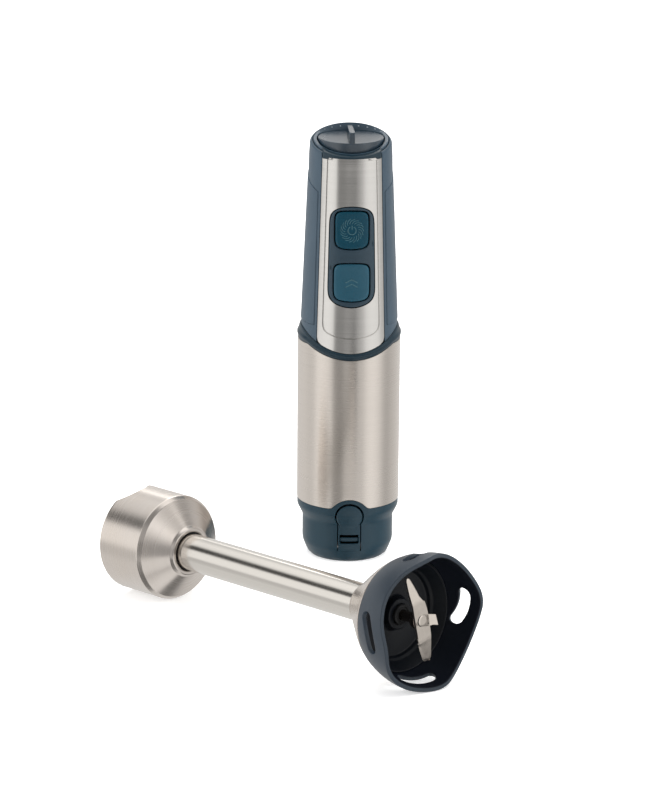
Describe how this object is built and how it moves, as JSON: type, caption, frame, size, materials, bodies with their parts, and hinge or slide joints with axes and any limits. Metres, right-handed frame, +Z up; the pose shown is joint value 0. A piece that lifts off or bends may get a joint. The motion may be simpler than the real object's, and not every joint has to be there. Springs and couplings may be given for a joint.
{
  "type": "immersion blender",
  "caption": "Hand-held immersion blender: a standing motor unit with dial, keys and latch, and its detached steel rod with blade guard and rotating blade.",
  "frame": {"origin": "centre of the motor unit's round base, on the surface it stands on", "axes": "+Z up along the motor axis; the keys and the release button face -Y; the cord leaves toward +Y; the rod lies in front"},
  "size_m": [0.1916, 0.2765, 0.2351],
  "materials": {
    "slate_plastic": "fine moulded satin texture",
    "soft_grip": "soft-touch matte",
    "brushed_steel": "fine brushing round the body",
    "polished_steel": "satin, fine lengthwise polish",
    "blade_steel": "ground and stamped",
    "shaft_steel": "ground",
    "teal_plastic": "satin gloss, dark teal",
    "pale_print": "raised print",
    "black_rubber": "matte",
    "black_plastic": "moulded",
    "switch_red": "moulded",
    "board_green": "solder mask",
    "bearing_bronze": "sintered",
    "core_iron": "stacked laminations",
    "copper_wire": "enamelled",
    "carbon": "pressed carbon"
  },
  "bodies": {
    "motor_unit": {"base_housing": "slate_plastic", "motor_sleeve": "brushed_steel", "collar_ring": "slate_plastic", "handle_shell": "slate_plastic", "left_grip": "soft_grip", "right_grip": "soft_grip", "front_panel": "brushed_steel", "button_bezel": "slate_plastic", "dial_bezel": "slate_plastic", "dial_scale": "pale_print", "cord_gland": "black_rubber", "speed_potentiometer": "black_plastic", "switch_bracket": "black_plastic", "microswitches": "switch_red", "control_board": "board_green", "board_screws": "shaft_steel", "upper_bracket": "black_plastic", "lower_bracket": "black_plastic", "upper_bearing": "bearing_bronze", "lower_bearing": "bearing_bronze", "stator_core": "core_iron", "field_coils": "copper_wire", "brush_holders": "black_plastic", "carbon_brushes": "carbon", "brush_springs": "shaft_steel", "base_seal": "black_rubber"},
    "speed_dial": {"dial_cap": "slate_plastic", "dial_spindle": "shaft_steel"},
    "power_key": {"power_button": "teal_plastic", "power_symbol": "pale_print"},
    "turbo_key": {"turbo_button": "teal_plastic", "turbo_symbol": "pale_print"},
    "latch": {"release_latch": "slate_plastic"},
    "rotor": {"motor_shaft": "shaft_steel", "armature_core": "core_iron", "armature_windings": "copper_wire", "commutator": "bearing_bronze", "cooling_fan": "black_plastic", "drive_socket": "black_plastic"},
    "rod": {"coupling_cup": "brushed_steel", "cup_insert": "slate_plastic", "nose_ring": "black_rubber", "shaft_tube": "polished_steel", "upper_bush": "black_plastic", "middle_bush": "black_plastic", "lower_bush": "black_plastic", "bell_housing": "brushed_steel", "blade_guard": "slate_plastic", "shaft_seal": "black_rubber"},
    "blade_drive": {"drive_shaft": "shaft_steel", "drive_dog": "black_plastic", "blade": "blade_steel", "blade_washer": "blade_steel", "shaft_circlip": "shaft_steel"}
  },
  "joints": [
    {"name": "dial_turn", "type": "hinge", "parent": "motor_unit", "child": "speed_dial", "pos_m": [0, 0, 0.226], "axis": [0, 0, 1], "range_deg": [-70, 70]},
    {"name": "power_press", "type": "slide", "parent": "motor_unit", "child": "power_key", "axis": [0, 1, 0], "range_m": [0, 0.0015], "stiffness_N_per_m": 800, "springref_m": -0.001},
    {"name": "turbo_press", "type": "slide", "parent": "motor_unit", "child": "turbo_key", "axis": [0, 1, 0], "range_m": [0, 0.0015], "stiffness_N_per_m": 800, "springref_m": -0.001},
    {"name": "latch_flex", "type": "hinge", "parent": "motor_unit", "child": "latch", "pos_m": [0, -0.0232, 0.0068], "axis": [-1, 0, 0], "range_deg": [0, 3.5], "stiffness_Nm_per_rad": 0.6, "springref_deg": -2.86},
    {"name": "motor_spin", "type": "hinge", "parent": "motor_unit", "child": "rotor", "pos_m": [0, 0, 0.06], "axis": [0, 0, 1], "continuous": true},
    {"name": "rod_lift", "type": "slide", "parent": "motor_unit", "child": "rod", "axis": [0, 0, 1], "range_m": [0, 0.15]},
    {"name": "blade_spin", "type": "hinge", "parent": "rod", "child": "blade_drive", "pos_m": [-0.04564, -0.13524, 0.03084], "axis": [0.6636, -0.7474, 0.0336], "continuous": true}
  ]
}
